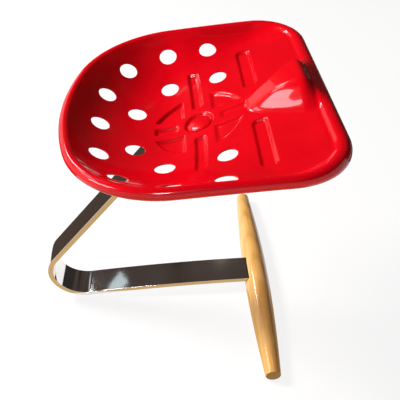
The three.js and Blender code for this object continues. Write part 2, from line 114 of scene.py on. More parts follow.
# Fineness of the pan's mesh
PAN_STEP = 4.6 * MM
PAN_RINGS = 46
FIRST_RING_SHARE = 0.035
FINE_BANDS = ((9 * MM, 2.6 * MM), (5.5 * MM, 1.6 * MM))
HOLE_SIDES = 48
HOLE_COLLAR = 1.6 * MM
LIP_STEPS = 14

# Fineness of the other pieces
TURNED_SIDES = 96
WASHER_SIDES = 72
ROUND_SIDES = 48
DOME_STEPS = 12
BOW_STEPS = 16
BEND_STEPS = 56
TOP_BEND_STEPS = 24
TAPER_STEPS = 20
BAR_END_STEPS = 6
COVE_STEPS = 8
MERGE_DISTANCE = 1e-6
NORMAL_STEP = 0.2 * MM

# Least turn across an edge that gets rounded
CORNER_TURN = 60 * DEGREE

# Studio lamps, aimed at the middle of the stool from one distance.
# Each is a name, direction from +X, height and roll in degrees, size, brightness and tint.
LAMP_TARGET = (0, 0, 0.42)
LAMP_DISTANCE = 2.6
LAMPS = (
    ("key", 66, 35, 0, (0.8, 0.7), 57, (1, 0.98, 0.95)),
    ("low_fill", 168, 4, 0, (1.6, 0.3), 18, (1, 0.98, 0.96)),
)

# Panels that show only as gloss, given in the same way
PANELS = (
    ("window_left", 95, 33, 24, (0.95, 0.75), 12, (1, 0.94, 1)),
    ("window_middle", 63, 38, 0, (0.6, 0.5), 6, (1, 0.94, 1)),
    ("window_right", 38, 34, 0, (0.4, 0.45), 17, (1, 0.96, 0.98)),
    ("rear_high", 155, 44, 0, (0.6, 0.4), 36, (1, 0.97, 0.98)),
    ("skylight", 26, 40.5, 20, (0.2, 0.12), 0.7, (0.78, 0.93, 1)),
)

# The dim room above the backdrop: a colour ramp on large soft shapes
ROOM = (
    (0.36, (0.01, 0.009, 0.009)),
    (0.48, (0.062, 0.045, 0.039)),
    (0.6, (0.075, 0.06, 0.056)),
    (0.66, (0.2, 0.17, 0.1)),
    (0.8, (0.28, 0.32, 0.34)),
)
ROOM_SHAPES = 4

# The pale floor and its backdrop: the light they give back, their white and its shadow
FLOOR = (0.4, 0.375, 0.34)
FLOOR_WHITE = 1.05
SHADOW_SHARE = 0.18
BACKDROP_RADIUS = 7
BACKDROP_COVE = 1
BACKDROP_HEIGHT = 3.7

# Cards round the stool, which only gloss shows.
# Each is a middle, size, turn from +X and rise from the floor in degrees, and colour.
CARDS = (
    ((-0.47, 0.1, 0.003), (0.87, 0.95), 0, 0, (0.68, 0.44, 0.2)),
    ((1.2, 1.39, 0.004), (2.2, 2.22), 0, 0, (0.075, 0.052, 0.042)),
    ((0.95, -1.02, 0.004), (1.4, 1.2), 0, 0, (0.02, 0.014, 0.012)),
    ((1.87, -1.8, 0.9), (1.8, 3.4), -44, 90, (0.03, 0.026, 0.024)),
    ((2.6, 0.05, 0.9), (1.8, 2.2), 0, 90, (0.05, 0.04, 0.035)),
)

# Nearest distance that the camera shows
CLIP_START = 0.01

# Beech: its growth rings' middle line, lean and scale, its pores, and the darkening of its ends,
# which is partly end grain and partly painted shade
RING_MIDDLE = (0, 0.17, 0.03)
RING_LEAN = (0, 5 * DEGREE, 4 * DEGREE)
RING_SCALE = 38
PORE_STRETCH = (0.12, 3, 3)
END_GRAIN_AND_SHADE_SHARE = 0.4
END_GRAIN_AND_SHADE_START = 1.5 * MM
END_GRAIN_AND_SHADE_FULL = 0.3 * MM

# Fits between pieces
SEAT_GAP = 0.3 * MM
SHANK_GAP = 0.4 * MM


def length(name, description, default):
    """Length property in metres."""
    return FloatProperty(
        name=name, description=description, default=default, min=0, unit="LENGTH", precision=4,
    )


def angle(name, description, default):
    """Angle property, shown in degrees."""
    return FloatProperty(name=name, description=description, default=default, unit="ROTATION")


def colour(name, description, default):
    """Linear colour property."""
    return FloatVectorProperty(
        name=name, description=description, default=default, min=0, max=1, size=3, subtype="COLOR"
    )


class SeatPanSettings(bpy.types.PropertyGroup):
    """Sizes and colour of the pressed seat pan."""

    width: length("Width", "Across the lip", 499 * MM)
    rear_reach: length("Rear reach", "From the bolt to the back of the lip", 221 * MM)
    rear_radius: length("Rear radius", "Of the edge across the back", 418 * MM)
    rear_turn: angle("Rear turn", "How far the back's arc turns on each side", 17.1 * DEGREE)
    side_run: length("Side run", "Straight stretch of each side", 153 * MM)
    side_flare: angle("Side flare", "How much the sides open to the front", 1 * DEGREE)
    corner_radius: length("Corner radius", "Of the front corners", 92.7 * MM)
    thickness: length("Thickness", "Of the steel sheet with its enamel", 2 * MM)
    rear_crest: length("Rear crest", "Height of the lip at the back above the bolt", 59.7 * MM)
    side_crest: length("Side crest", "Height of the lip at the sides above the bolt", 61.4 * MM)
    front_crest: length("Front crest", "Height of the lip at the front above the bolt", 57.7 * MM)
    floor_tilt: angle("Floor tilt", "Climb of the floor through the bolt", 15.4 * DEGREE)
    lip_radius: length("Lip radius", "Of the rolled lip", 9.2 * MM)
    front_lip_radius: length("Front lip radius", "Of the rolled lip at the front", 14 * MM)
    pommel_rise: length("Pommel rise", "Height of the raised middle of the front", 32.6 * MM)
    pressed_depth: length("Pressed depth", "Depth of ribs, slots, sectors and cup", 4.5 * MM)
    pressed_wall: length("Pressed wall", "Width of the slope round each pressed region", 6.5 * MM)
    hole_radius: length("Hole radius", "Of the round holes", 16.3 * MM)
    edge_round: length("Edge round", "Radius of the enamelled sheet edges", 0.6 * MM)


class BoltSettings(bpy.types.PropertyGroup):
    """Sizes of the seat bolt, its washer and its wing nut."""

    radius: length("Radius", "Of the shank", 5 * MM)
    pitch: length("Pitch", "Of the thread", 1.5 * MM)
    thread_depth: length("Thread depth", "From crest to root", 0.8 * MM)
    head_radius: length("Head radius", "Of the domed head", 20.5 * MM)
    head_edge: length("Head edge", "Height of the head's straight edge", 1.4 * MM)
    washer_radius: length("Washer radius", "Outer radius", 12 * MM)
    washer_edge: length("Washer edge", "Bevel of the washer's edges", 0.3 * MM)
    nut_base_radius: length("Nut base radius", "Of the wing nut where it presses", 10 * MM)
    nut_top_radius: length("Nut top radius", "Of the wing nut's free end", 8 * MM)
    nut_height: length("Nut height", "Of the wing nut's hub", 12 * MM)
    wing_thickness: length("Wing thickness", "Of the nut's ears", 3.2 * MM)
    wing_reach: length("Wing reach", "From the bolt's axis to an ear's tip", 25 * MM)
    ear_width: length("Ear width", "Across one ear", 21 * MM)
    ear_height: length("Ear height", "Of one ear", 18 * MM)
    ear_drop: length("Ear drop", "From the nut's upper face to the ears' middle", 10 * MM)


class StripSettings(bpy.types.PropertyGroup):
    """Sizes of the bent strip, along its middle line from the foot bar to under the seat."""

    width: length("Width", "Of the strip", 60 * MM)
    thickness: length("Thickness", "Of the strip", 10 * MM)
    edge_round: length("Edge round", "Radius of the long edges", 0.6 * MM)
    tongue_run: length("Tongue run", "Straight end in the foot bar", 32 * MM)
    tongue_tilt: angle("Tongue tilt", "How much the straight end falls to the back", 1 * DEGREE)
    bow_run: length("Bow run", "Length of the slight bow over the floor", 334 * MM)
    bow_turn: angle("Bow turn", "How much the bow turns down", 5 * DEGREE)
    bend_radius: length("Bend radius", "Of the lower bend", 65 * MM)
    lean: angle("Lean", "Of the rising stretch above the level", 49.7 * DEGREE)
    stem_run: length("Stem run", "Rising straight stretch", 308.6 * MM)
    top_bend_radius: length("Top bend radius", "Of the bend under the seat", 100 * MM)
    tab_run: length("Tab run", "Straight stretch that carries the seat", 92.2 * MM)


class FootBarSettings(bpy.types.PropertyGroup):
    """Sizes of the turned foot bar."""

    radius: length("Radius", "At the middle", 25.8 * MM)
    end_radius: length("End radius", "At the ends", 14.5 * MM)
    end_round: length("End round", "Radius of the ends' edges", 2.5 * MM)
    taper_ease: FloatProperty(
        name="Taper ease", description="How late the bar grows slim", default=1.85, min=1,
        subtype="FACTOR",
    )


class FinishSettings(bpy.types.PropertyGroup):
    """Colours of the finishes."""

    enamel: colour("Enamel", "Glossy red of pan and bolt head", (0.82, 0.0, 0.008))
    chrome: colour("Chrome", "Plating of the strip", (0.84, 0.83, 0.81))
    beech: colour("Beech", "Light wood under amber lacquer", (0.93, 0.54, 0.16))
    beech_grain: colour("Beech grain", "Darker lines of the wood", (0.84, 0.445, 0.12))
    zinc: colour("Zinc", "Plating of washer, nut and screws", (0.62, 0.63, 0.64))


class StudioSettings(bpy.types.PropertyGroup):
    """Camera and the picture it takes."""

    camera_place: FloatVectorProperty(
        name="Camera place",
        description="To the sitter's right, behind the foot bar's axis and above the floor",
        default=(749.6 * MM, 155.9 * MM, 898.2 * MM), size=3, subtype="XYZ_LENGTH",
    )
    focal_length: FloatProperty(
        name="Focal length", description="In pixels of the picture", default=525, min=1,
    )
    camera_pitch: angle("Pitch", "How far the camera looks down", 41.572 * DEGREE)
    camera_heading: angle("Heading", "Where the camera looks, from +X towards +Y", -2.73 * DEGREE)
    camera_roll: angle("Roll", "Turn of the camera about its line of sight", -0.583 * DEGREE)
    picture_size: IntProperty(
        name="Picture size", description="Side of the picture", default=400, subtype="PIXEL",
    )


class StoolSettings(bpy.types.PropertyGroup):
    """Everything that can be set."""

    seat_pan: PointerProperty(type=SeatPanSettings)
    bolt: PointerProperty(type=BoltSettings)
    strip: PointerProperty(type=StripSettings)
    foot_bar: PointerProperty(type=FootBarSettings)
    finish: PointerProperty(type=FinishSettings)
    studio: PointerProperty(type=StudioSettings)


def ease(low, high, value):
    """Smooth step from 0 at low to 1 at high."""
    share = min(1, max(0, (value - low) / (high - low)))
    return share * share * (3 - 2 * share)


def joint(name):
    """A joint of the frame by its name."""
    return next(row for row in frame["joints"] if row["name"] == name)


def tab_tilt():
    """Tilt of the strip's tab, which the bolt stands square to."""
    axis = joint("seat_swivel")["axis"]
    return math.atan2(axis[1], axis[2])


def bolt_frame():
    """Matrix from the bolt's own frame, with z along its axis, to the stool's."""
    return Matrix.Translation(joint("seat_swivel")["pos_m"]) @ Matrix.Rotation(-tab_tilt(), 4, "X")


def reach_along_bolt(node):
    """Lowest and highest place of a node of the frame in the bolt's own frame."""
    to_bolt = bolt_frame().inverted()
    heights = [(to_bolt @ vert.co).z for vert in frame["nodes"][node].data.vertices]
    return min(heights), max(heights)


def add_object(name, bm, material=None):
    """Smooth object from a bmesh, which is used up."""
    mesh = bpy.data.meshes.new(name)
    bm.to_mesh(mesh)
    bm.free()
    mesh.shade_smooth()
    if material:
        mesh.materials.append(material)
    piece = bpy.data.objects.new(name, mesh)
    bpy.context.scene.collection.objects.link(piece)
    return piece


def finish_piece(name, bm, material, body, replaced, sharp=40 * DEGREE):
    """Object from a finished bmesh, riding on its body in place of a node of the frame."""
    piece = add_object(name, bm, material)
    piece.data.set_sharp_from_angle(angle=sharp)
    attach(piece, body)
    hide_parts(replaced)
    return piece


def add_modifier(piece, kind, **values):
    """Gives a piece a modifier of a kind with its values."""
    modifier = piece.modifiers.new(kind.lower(), kind)
    for key, value in values.items():
        setattr(modifier, key, value)


def boolean(bm, other, operation):
    """The body of one bmesh cut by, or joined with, that of another. Both are used up."""
    pieces = [add_object("part", source) for source in (bm, other)]
    add_modifier(pieces[0], "BOOLEAN", operation=operation, solver="EXACT", object=pieces[1])
    result = bmesh.new()
    result.from_object(pieces[0], bpy.context.evaluated_depsgraph_get())
    for piece in pieces:
        mesh = piece.data
        bpy.data.objects.remove(piece)
        bpy.data.meshes.remove(mesh)
    return result


def of_kind(kind, items):
    """The items that are of one kind."""
    return [item for item in items if isinstance(item, kind)]


def extrude_ring(bm, edges):
    """One more ring of faces from a loop of edges. Gives the new loop's vertices and edges."""
    made = bmesh.ops.extrude_edge_only(bm, edges=edges)["geom"]
    verts = of_kind(BMVert, made)
    new = set(verts)
    return verts, [edge for edge in of_kind(BMEdge, made) if new.issuperset(edge.verts)]


def turned(profile, steps):
    """Body turned about z from pairs of radius and height."""
    bm = bmesh.new()
    verts = [bm.verts.new((radius, 0, height)) for radius, height in profile]
    for pair in zip(verts, verts[1:]):
        bm.edges.new(pair)
    bmesh.ops.spin(
        bm, geom=bm.verts[:] + bm.edges[:], axis=(0, 0, 1), cent=(0, 0, 0), angle=FULL_TURN,
        steps=steps, use_merge=True,
    )
    bmesh.ops.remove_doubles(bm, verts=bm.verts, dist=MERGE_DISTANCE)
    bmesh.ops.recalc_face_normals(bm, faces=bm.faces)
    return bm


def upright_rod(radius, low, high):
    """Plain cylinder along z."""
    bm = bmesh.new()
    place = Matrix.Translation((0, 0, (low + high) / 2))
    bmesh.ops.create_cone(
        bm, cap_ends=True, cap_tris=False, segments=ROUND_SIDES, radius1=radius, radius2=radius,
        depth=high - low, matrix=place,
    )
    return bm


def round_rims(bm, radius, segments):
    """Rounds the sharp edges."""
    rims = [edge for edge in bm.edges if edge.calc_face_angle(0) > CORNER_TURN]
    bmesh.ops.bevel(
        bm, geom=rims, offset=radius, affect="EDGES", segments=segments, profile=0.5, material=-1,
    )


class PanShape:
    """The pan's upper face in the seat's own frame: x across, y to the back, z up from the bolt."""

    def __init__(self, pan, spots):
        self.pan = pan
        count = len(spots)
        self.stops = []
        for index, spot in enumerate(spots):
            along = spots[(index + 1) % count] - spots[index - 1]
            self.stops.append((spot, Vector((-along.y, along.x)).normalized()))
        self.front_reach = -min(spot.y for spot in spots)
        self.starts = [self.lip_spot(index, LIP_START) for index in range(count)]
        self.angles = [math.atan2(start.x, start.y) % FULL_TURN for start in self.starts]
        self.angles[0] = 0

    def crest_height(self, ahead):
        """Height of the lip's top, which is highest at the sides."""
        pan = self.pan
        if ahead > SIDE_CREST_AHEAD:
            end, reach = pan.front_crest, self.front_reach - SIDE_CREST_AHEAD
        else:
            end, reach = pan.rear_crest, pan.rear_reach + SIDE_CREST_AHEAD
        share = (ahead - SIDE_CREST_AHEAD) / reach
        return pan.side_crest + (end - pan.side_crest) * share * share

    def floor_height(self, ahead):
        """Level at the back, then a plane that climbs through the bolt."""
        bend = FLOOR_BLEND * math.log1p(math.exp((ahead + FLOOR_BREAK_BEHIND) / FLOOR_BLEND))
        return math.tan(self.pan.floor_tilt) * (bend - FLOOR_BREAK_BEHIND)

    def pommel_height(self, across, ahead):
        """Rise of the pommel above the floor."""
        along = (ahead - POMMEL_BACK_AHEAD) / (POMMEL_TOP_AHEAD - POMMEL_BACK_AHEAD)
        along = min(1, max(0, along))
        nose = 1 - ease(POMMEL_TOP_AHEAD, POMMEL_NOSE_AHEAD, ahead)
        flank = POMMEL_BACK_HALF_WIDTH + (POMMEL_FRONT_HALF_WIDTH - POMMEL_BACK_HALF_WIDTH) * along
        side = 1 - ease(POMMEL_FLAT_SHARE * flank, flank, abs(across))
        return self.pan.pommel_rise * math.sin(along * RIGHT_ANGLE) * nose * side

    def lifted(self, spot):
        """Spot lifted by the pommel under it."""
        return Vector((spot.x, spot.y, spot.z + self.pommel_height(spot.x, -spot.y)))

    def lip_spot(self, index, turn):
        """Spot on the lip's roll: no turn is the crest, a right angle the outer edge."""
        pan = self.pan
        spot, outward = self.stops[index]
        front = max(0, -outward.y)
        radius = pan.lip_radius + (pan.front_lip_radius - pan.lip_radius) * front * front
        flat = spot - outward * radius * (1 - math.sin(turn))
        height = self.crest_height(-spot.y) - radius * (1 - math.cos(turn))
        return Vector((flat.x, flat.y, height))

    def lip_towards(self, turn):
        """Lip's inner start in a direction, turned from the back towards +X."""
        turn %= FULL_TURN
        low, high = 0, len(self.angles)
        while high - low > 1:
            middle = (low + high) // 2
            if self.angles[middle] <= turn:
                low = middle
            else:
                high = middle
        here = self.starts[low]
        following = self.starts[(low + 1) % len(self.starts)]
        way = Vector((math.sin(turn), math.cos(turn)))
        side_here = way.x * here.y - way.y * here.x
        side_following = way.x * following.y - way.y * following.x
        return here.lerp(following, side_here / (side_here - side_following))

    def bowl_spot(self, x, y):
        """Spot on the plain bowl above a place in plan."""
        lip = self.lip_towards(math.atan2(x, y))
        share = math.hypot(x, y) / math.hypot(lip.x, lip.y)
        floor = self.floor_height(-y)
        gentle = GENTLE_WALL_SHARE * (1 - ease(-GENTLE_FADE_BEHIND, GENTLE_FADE_AHEAD, -y))
        climb = gentle * share**GENTLE_WALL_EASE + (1 - gentle) * share**STEEP_WALL_EASE
        return self.lifted(Vector((x, y, floor + (lip.z - floor) * climb)))

    def face_normal(self, x, y):
        """Upward normal of the plain bowl."""
        step = NORMAL_STEP
        across = self.bowl_spot(x + step, y) - self.bowl_spot(x - step, y)
        along = self.bowl_spot(x, y + step) - self.bowl_spot(x, y - step)
        return across.cross(along).normalized()

    def in_bolt_plane(self, spot):
        """Place of a spot in the plane square to the bolt."""
        tilt = self.pan.floor_tilt
        return Vector((spot.x, spot.y * math.cos(tilt) - spot.z * math.sin(tilt)))

    def pressed_spot(self, x, y):
        """Spot on the finished face, with the pressed pattern sunk into it."""
        spot = self.bowl_spot(x, y)
        pan = self.pan
        place = self.in_bolt_plane(spot)
        is_pattern = CUP_RADIUS + pan.pressed_wall < place.length < SOFT_REACH
        soft = ease(0, SOFT_AHEAD, -place.y) if is_pattern else 0
        half_wall = pan.pressed_wall / 2 * (1 + (SOFT_WALL_SHARE - 1) * soft)
        sunk = 1 - ease(-half_wall, half_wall, pattern_distance(place))
        if sunk:
            depth = pan.pressed_depth * sunk * (1 + (SOFT_DEPTH_SHARE - 1) * soft)
            spot -= self.face_normal(x, y) * depth
        return spot

    def hole_place(self, turn_degrees, share):
        """Middle of a hole in plan, and the plan views of two square directions in its plane."""
        turn = turn_degrees * DEGREE
        lip = self.lip_towards(turn)
        beside = self.lip_towards(turn + NUDGE_TURN)
        middle = self.bowl_spot(lip.x * share, lip.y * share)
        outer = self.bowl_spot(lip.x * (share + NUDGE_SHARE), lip.y * (share + NUDGE_SHARE))
        aside = self.bowl_spot(beside.x * share, beside.y * share)
        up_wall = (outer - middle).normalized()
        normal = up_wall.cross(aside - middle).normalized()
        return middle.xy, up_wall.xy, normal.cross(up_wall).xy


def box_distance(place, box, corner):
    """Distance in plan from a rectangle with rounded corners, less than 0 inside."""
    left, low, right, high = box
    across = abs(place.x - (left + right) / 2) - (right - left) / 2 + corner
    along = abs(place.y - (low + high) / 2) - (high - low) / 2 + corner
    return math.hypot(max(across, 0), max(along, 0)) + min(max(across, along), 0) - corner


def pattern_distance(place):
    """Distance in plan from the nearest pressed region, less than 0 inside one."""
    folded = Vector((abs(place.x), place.y))
    radius = place.length
    sector = max(SECTOR_INSET - folded.x, SECTOR_INSET - abs(place.y), radius - SECTOR_RADIUS)
    return min(
        radius - CUP_RADIUS, sector,
        box_distance(folded, SIDE_RIB, RIB_CORNER),
        box_distance(place, REAR_RIB, RIB_CORNER),
        box_distance(place, FRONT_RIB, RIB_CORNER),
        box_distance(folded, SLOT, SLOT_CORNER),
    )


def pan_outline(bm, pan):
    """Closed loop of the pan's outer edge in plan, drawn on one side and mirrored, in order."""

    def bend(tip, facing, radius, turn):
        outward = Vector((math.sin(facing), math.cos(facing), 0))
        spun = bmesh.ops.spin(
            bm, geom=[tip], cent=tip.co - outward * radius, axis=(0, 0, 1), angle=-turn,
            steps=max(2, round(radius * turn / PAN_STEP)),
        )
        return spun["geom_last"][0], facing + turn

    def run(tip, facing, reach):
        steps = round(reach / PAN_STEP)
        step = Vector((math.cos(facing), -math.sin(facing), 0)) * reach / steps
        for _ in range(steps):
            tip = bmesh.ops.extrude_vert_indiv(bm, verts=[tip])["verts"][0]
            bmesh.ops.translate(bm, verts=[tip], vec=step)
        return tip

    rear_share, flare_share = math.sin(pan.rear_turn), math.sin(pan.side_flare)
    hip_radius = pan.width / 2 - pan.rear_radius * rear_share - pan.side_run * flare_share
    hip_radius /= math.cos(pan.side_flare) - rear_share
    first = bm.verts.new((0, pan.rear_reach, 0))
    tip, facing = bend(first, 0, pan.rear_radius, pan.rear_turn)
    tip, facing = bend(tip, facing, hip_radius, RIGHT_ANGLE - pan.side_flare - pan.rear_turn)
    tip = run(tip, facing, pan.side_run)
    tip, facing = bend(tip, facing, pan.corner_radius, RIGHT_ANGLE + pan.side_flare)
    run(tip, facing, tip.co.x)
    bmesh.ops.mirror(bm, geom=bm.verts[:] + bm.edges[:], axis="X", merge_dist=PAN_STEP / 10)
    bmesh.ops.remove_doubles(bm, verts=bm.verts, dist=PAN_STEP / 10)

    def beside(vert):
        return [edge.other_vert(vert) for edge in vert.link_edges]

    start = max(bm.verts, key=lambda vert: vert.co.y - abs(vert.co.x))
    chain = [start, max(beside(start), key=lambda vert: vert.co.x)]
    while len(chain) < len(bm.verts):
        chain.append(next(vert for vert in beside(chain[-1]) if vert != chain[-2]))
    return chain


def punch_hole(bm, place, radius):
    """Round hole in the flat plan of the sheet, with a narrow even collar round it."""
    centre, up_wall, beside = place
    to_hole = Matrix(((up_wall.x, beside.x), (up_wall.y, beside.y))).inverted()
    collar = radius + HOLE_COLLAR
    clear = collar + HOLE_COLLAR / 2

    def is_inside(vert):
        return (to_hole @ (vert.co.xy - centre)).length < clear

    near = [
        face for face in bm.faces if (face.calc_center_median().xy - centre).length < 2 * radius
    ]
    gone = [face for face in near if any(is_inside(vert) for vert in face.verts)]
    left = {edge for face in near if face not in set(gone) for edge in face.edges}
    border = [edge for edge in {edge for face in gone for edge in face.edges} if edge in left]
    bmesh.ops.delete(bm, geom=gone, context="FACES")

    stretch = Matrix((
        (up_wall.x, beside.x, 0, centre.x),
        (up_wall.y, beside.y, 0, centre.y),
        (0, 0, 1, 0),
        (0, 0, 0, 1),
    ))
    rim = bmesh.ops.create_circle(
        bm, cap_ends=False, segments=HOLE_SIDES, radius=radius, matrix=stretch,
    )["verts"]
    rim_edges = list({edge for vert in rim for edge in vert.link_edges})
    outer, outer_edges = extrude_ring(bm, rim_edges)
    grow = collar / radius
    middle = Matrix.Translation((-centre.x, -centre.y, 0))
    bmesh.ops.scale(bm, vec=(grow, grow, 1), space=middle, verts=outer)
    bmesh.ops.triangle_fill(
        bm, use_beauty=True, use_dissolve=False, edges=border + outer_edges, normal=(0, 0, 1),
    )


class STOOL_OT_seat_pan(bpy.types.Operator):
    """Make the pressed and enamelled seat pan"""

    bl_idname = "stool.seat_pan"
    bl_label = "Seat Pan"

    def execute(self, context):
        settings = context.scene.stool
        pan = settings.seat_pan
        bm = bmesh.new()
        station = bm.verts.layers.int.new("station")
        chain = pan_outline(bm, pan)
        shape = PanShape(pan, [vert.co.xy for vert in chain])
        for index, vert in enumerate(chain):
            vert[station] = index
            vert.co = shape.starts[index].xy.to_3d()
        lip_edges = bm.edges[:]

        edges = lip_edges
        share = 1
        for ring in range(PAN_RINGS):
            verts, edges = extrude_ring(bm, edges)
            inner = 1 + (FIRST_RING_SHARE - 1) * (ring + 1) / PAN_RINGS
            bmesh.ops.scale(bm, vec=(inner / share, inner / share, 1), verts=verts)
            share = inner
        for vert in verts:
            vert.co = vert.co.normalized() * (settings.bolt.radius + SHANK_GAP)

        for band, limit in FINE_BANDS:
            fine = []
            for edge in bm.edges:
                middle = (edge.verts[0].co + edge.verts[1].co) / 2
                place = shape.in_bolt_plane(shape.bowl_spot(middle.x, middle.y))
                if abs(pattern_distance(place)) < band and edge.calc_length() > limit:
                    fine.append(edge)
            bmesh.ops.subdivide_edges(bm, edges=fine, cuts=1, use_grid_fill=True)

        mirrored = [(-turn, share) for turn, share in PAIRED_HOLE_SHARES]
        for turn, share in (*PAIRED_HOLE_SHARES, *mirrored, *SINGLE_HOLE_SHARES):
            punch_hole(bm, shape.hole_place(turn, share), pan.hole_radius)

        for vert in bm.verts:
            vert.co = shape.pressed_spot(vert.co.x, vert.co.y)

        edges = [edge for edge in bm.edges if edge.is_boundary and all(
            (vert.co.xy - shape.starts[vert[station]].xy).length < MM / 10 for vert in edge.verts
        )]
        for step in range(LIP_STEPS):
            verts, edges = extrude_ring(bm, edges)
            turn = LIP_START + (LIP_END - LIP_START) * (step + 1) / LIP_STEPS
            for vert in verts:
                vert.co = shape.lifted(shape.lip_spot(vert[station], turn))

        bmesh.ops.recalc_face_normals(bm, faces=bm.faces)
        middle_face = min(bm.faces, key=lambda face: face.calc_center_median().length)
        if middle_face.normal.z < 0:
            bmesh.ops.reverse_faces(bm, faces=bm.faces)
        lean = Matrix.Rotation(pan.floor_tilt - tab_tilt(), 4, "X")
        bm.transform(Matrix.Translation(joint("seat_swivel")["pos_m"]) @ lean)
        piece = finish_piece(
            "seat_pan_sheet", bm, red_enamel(), "seat", "seat_pan", sharp=math.pi,
        )
        add_modifier(piece, "SOLIDIFY", thickness=pan.thickness, offset=-1, use_even_offset=True)
        add_modifier(
            piece, "BEVEL", width=pan.edge_round, segments=3, limit_method="ANGLE",
            angle_limit=CORNER_TURN,
        )
        return {"FINISHED"}


class STOOL_OT_seat_bolt(bpy.types.Operator):
    """Make the domed seat bolt"""

    bl_idname = "stool.seat_bolt"
    bl_label = "Seat Bolt"

    def execute(self, context):
        settings = context.scene.stool
        bolt = settings.bolt
        seat = SEAT_GAP - settings.seat_pan.pressed_depth
        edge = seat + bolt.head_edge
        dome = []
        for step in range(1, DOME_STEPS + 1):
            turn = RIGHT_ANGLE * step / DOME_STEPS
            dome.append((bolt.head_radius * math.cos(turn), edge - edge * math.sin(turn)))
        dome[-1] = (0, dome[-1][1])
        low, _ = reach_along_bolt("seat_bolt")
        root = bolt.radius - bolt.thread_depth
        thread = []
        height = low + bolt.pitch
        top = seat - settings.seat_pan.thickness - settings.strip.thickness
        while height + bolt.pitch < top:
            thread += [(root, height), (bolt.radius, height + bolt.pitch / 2)]
            height += bolt.pitch
        profile = [
            (0, low), (root, low), *thread, (bolt.radius, height + bolt.pitch / 2),
            (bolt.radius, seat), (bolt.head_radius, seat), (bolt.head_radius, edge), *dome,
        ]
        bm = turned(profile, TURNED_SIDES)
        bm.transform(bolt_frame())
        finish_piece(
            "seat_bolt_head_and_shank", bm, red_enamel(), "seat", "seat_bolt",
        )
        return {"FINISHED"}


class STOOL_OT_wing_nut(bpy.types.Operator):
    """Make the wing nut and the washer above it"""

    bl_idname = "stool.wing_nut"
    bl_label = "Wing Nut and Washer"

    def execute(self, context):
        bolt = context.scene.stool.bolt
        bore = bolt.radius + SHANK_GAP
        low, high = reach_along_bolt("washer")
        outer = bolt.washer_radius
        ring = ((bore, low), (outer, low), (outer, high), (bore, high), (bore, low))
        bm = turned(ring, WASHER_SIDES)
        round_rims(bm, bolt.washer_edge, segments=2)
        bm.transform(bolt_frame())
        finish_piece("plain_washer", bm, zinc_plate(), "washer", "washer")

        _, top = reach_along_bolt("wing_nut")
        end = top - bolt.nut_height
        section = (
            (bore, end), (bolt.nut_top_radius, end), (bolt.nut_base_radius, top), (bore, top),
            (bore, end),
        )
        hub = turned(section, ROUND_SIDES)
        for side in (-1, 1):
            ear = bmesh.new()
            shape = Matrix.Diagonal((bolt.ear_width / 2, bolt.ear_height / 2, 1, 1))
            across = side * (bolt.wing_reach - bolt.ear_width / 2)
            place = Matrix.Translation((across, bolt.wing_thickness / 2, top - bolt.ear_drop))
            flat = place @ Matrix.Rotation(RIGHT_ANGLE, 4, "X") @ shape
            bmesh.ops.create_circle(ear, cap_ends=True, segments=ROUND_SIDES, radius=1, matrix=flat)
            made = bmesh.ops.extrude_face_region(ear, geom=ear.faces[:])["geom"]
            outer_face = of_kind(BMVert, made)
            bmesh.ops.translate(ear, verts=outer_face, vec=(0, -bolt.wing_thickness, 0))
            bmesh.ops.recalc_face_normals(ear, faces=ear.faces)
            round_rims(ear, bolt.wing_thickness / 3, segments=4)
            hub = boolean(hub, ear, "UNION")
        drill = upright_rod(bore, top - 3 * bolt.nut_height, top + bolt.nut_height)
        hub = boolean(hub, drill, "DIFFERENCE")
        hub.transform(bolt_frame())
        finish_piece(
            "wing_nut_forging", hub, zinc_plate(), "wing_nut", "wing_nut",
            sharp=30 * DEGREE,
        )
        return {"FINISHED"}


def direction(heading):
    """Direction in the plane of the strip's bends: 0 is to the back, a right angle is up."""
    return Vector((0, math.cos(heading), math.sin(heading)))


def strip_section(bm, strip, grow, round_by):
    """Rectangle across the strip, grown all round, with its corners rounded."""
    half_width = strip.width / 2 + grow
    half = strip.thickness / 2 + grow
    corners = ((-half_width, -half), (half_width, -half), (half_width, half), (-half_width, half))
    verts = [bm.verts.new((x, 0, z)) for x, z in corners]
    for pair in zip(verts, verts[1:] + verts[:1]):
        bm.edges.new(pair)
    if round_by:
        bmesh.ops.bevel(
            bm, geom=verts, offset=round_by, affect="VERTICES", segments=3, profile=0.5,
            material=-1,
        )
    return bm.edges[:]


